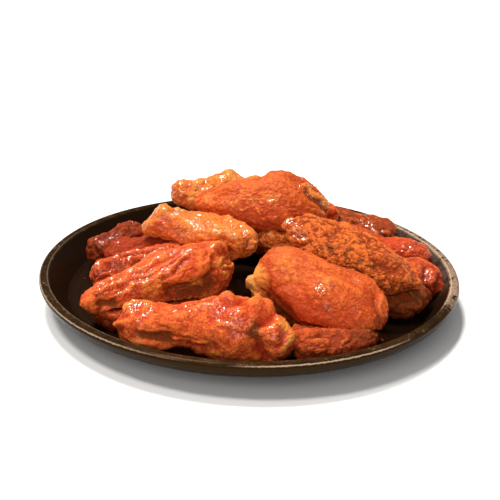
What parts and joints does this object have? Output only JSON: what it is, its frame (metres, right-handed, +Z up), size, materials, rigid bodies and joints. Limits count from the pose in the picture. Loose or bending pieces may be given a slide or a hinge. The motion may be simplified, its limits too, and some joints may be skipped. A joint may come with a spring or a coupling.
{
  "type": "chicken wings serving",
  "caption": "Heap of sauced fried chicken wings, drumettes and flats, on a round dark plate with a low raised lip.",
  "frame": {"origin": "middle of the plate's foot, on the surface that it stands on", "axes": "+X to the diner's right, +Y to the far side of the plate, +Z up"},
  "size_m": [0.261, 0.261, 0.0728],
  "materials": {
    "dark_glaze": "satin dark brown glaze, worn to pale brown on the lip",
    "sauced_skin": "fried skin under a thin orange red sauce, uneven, with sharp small highlights",
    "smooth_skin": "tight smooth orange skin with a soft sheen",
    "glossy_skin": "wet orange skin, beaded with sauce",
    "crusted_skin": "rough crust with brown and dark specks",
    "red_skin": "deep red sauced skin",
    "dark_red_skin": "dark red brown crisp skin",
    "pale_skin": "pale yellow brown gristle and skin",
    "shaded_skin": "brown orange skin"
  },
  "bodies": {
    "root": {"plate": "dark_glaze", "front_drumette": "sauced_skin", "left_under_flat": "shaded_skin", "front_under_flat": "shaded_skin", "middle_drumette": "pale_skin", "right_under_flat": "shaded_skin", "right_drumette": "red_skin", "right_back_drumette": "sauced_skin", "back_right_flat": "crusted_skin", "back_middle_flat": "crusted_skin", "back_under_flat": "sauced_skin", "far_left_flat": "dark_red_skin", "left_back_drumette": "red_skin", "left_flat": "red_skin", "left_drumette": "sauced_skin", "middle_flat": "pale_skin", "upper_left_drumette": "glossy_skin", "front_right_flat": "smooth_skin", "upper_right_flat": "crusted_skin", "back_left_drumette": "sauced_skin", "back_top_drumette": "sauced_skin", "top_flat": "smooth_skin"}
  },
  "joints": []
}
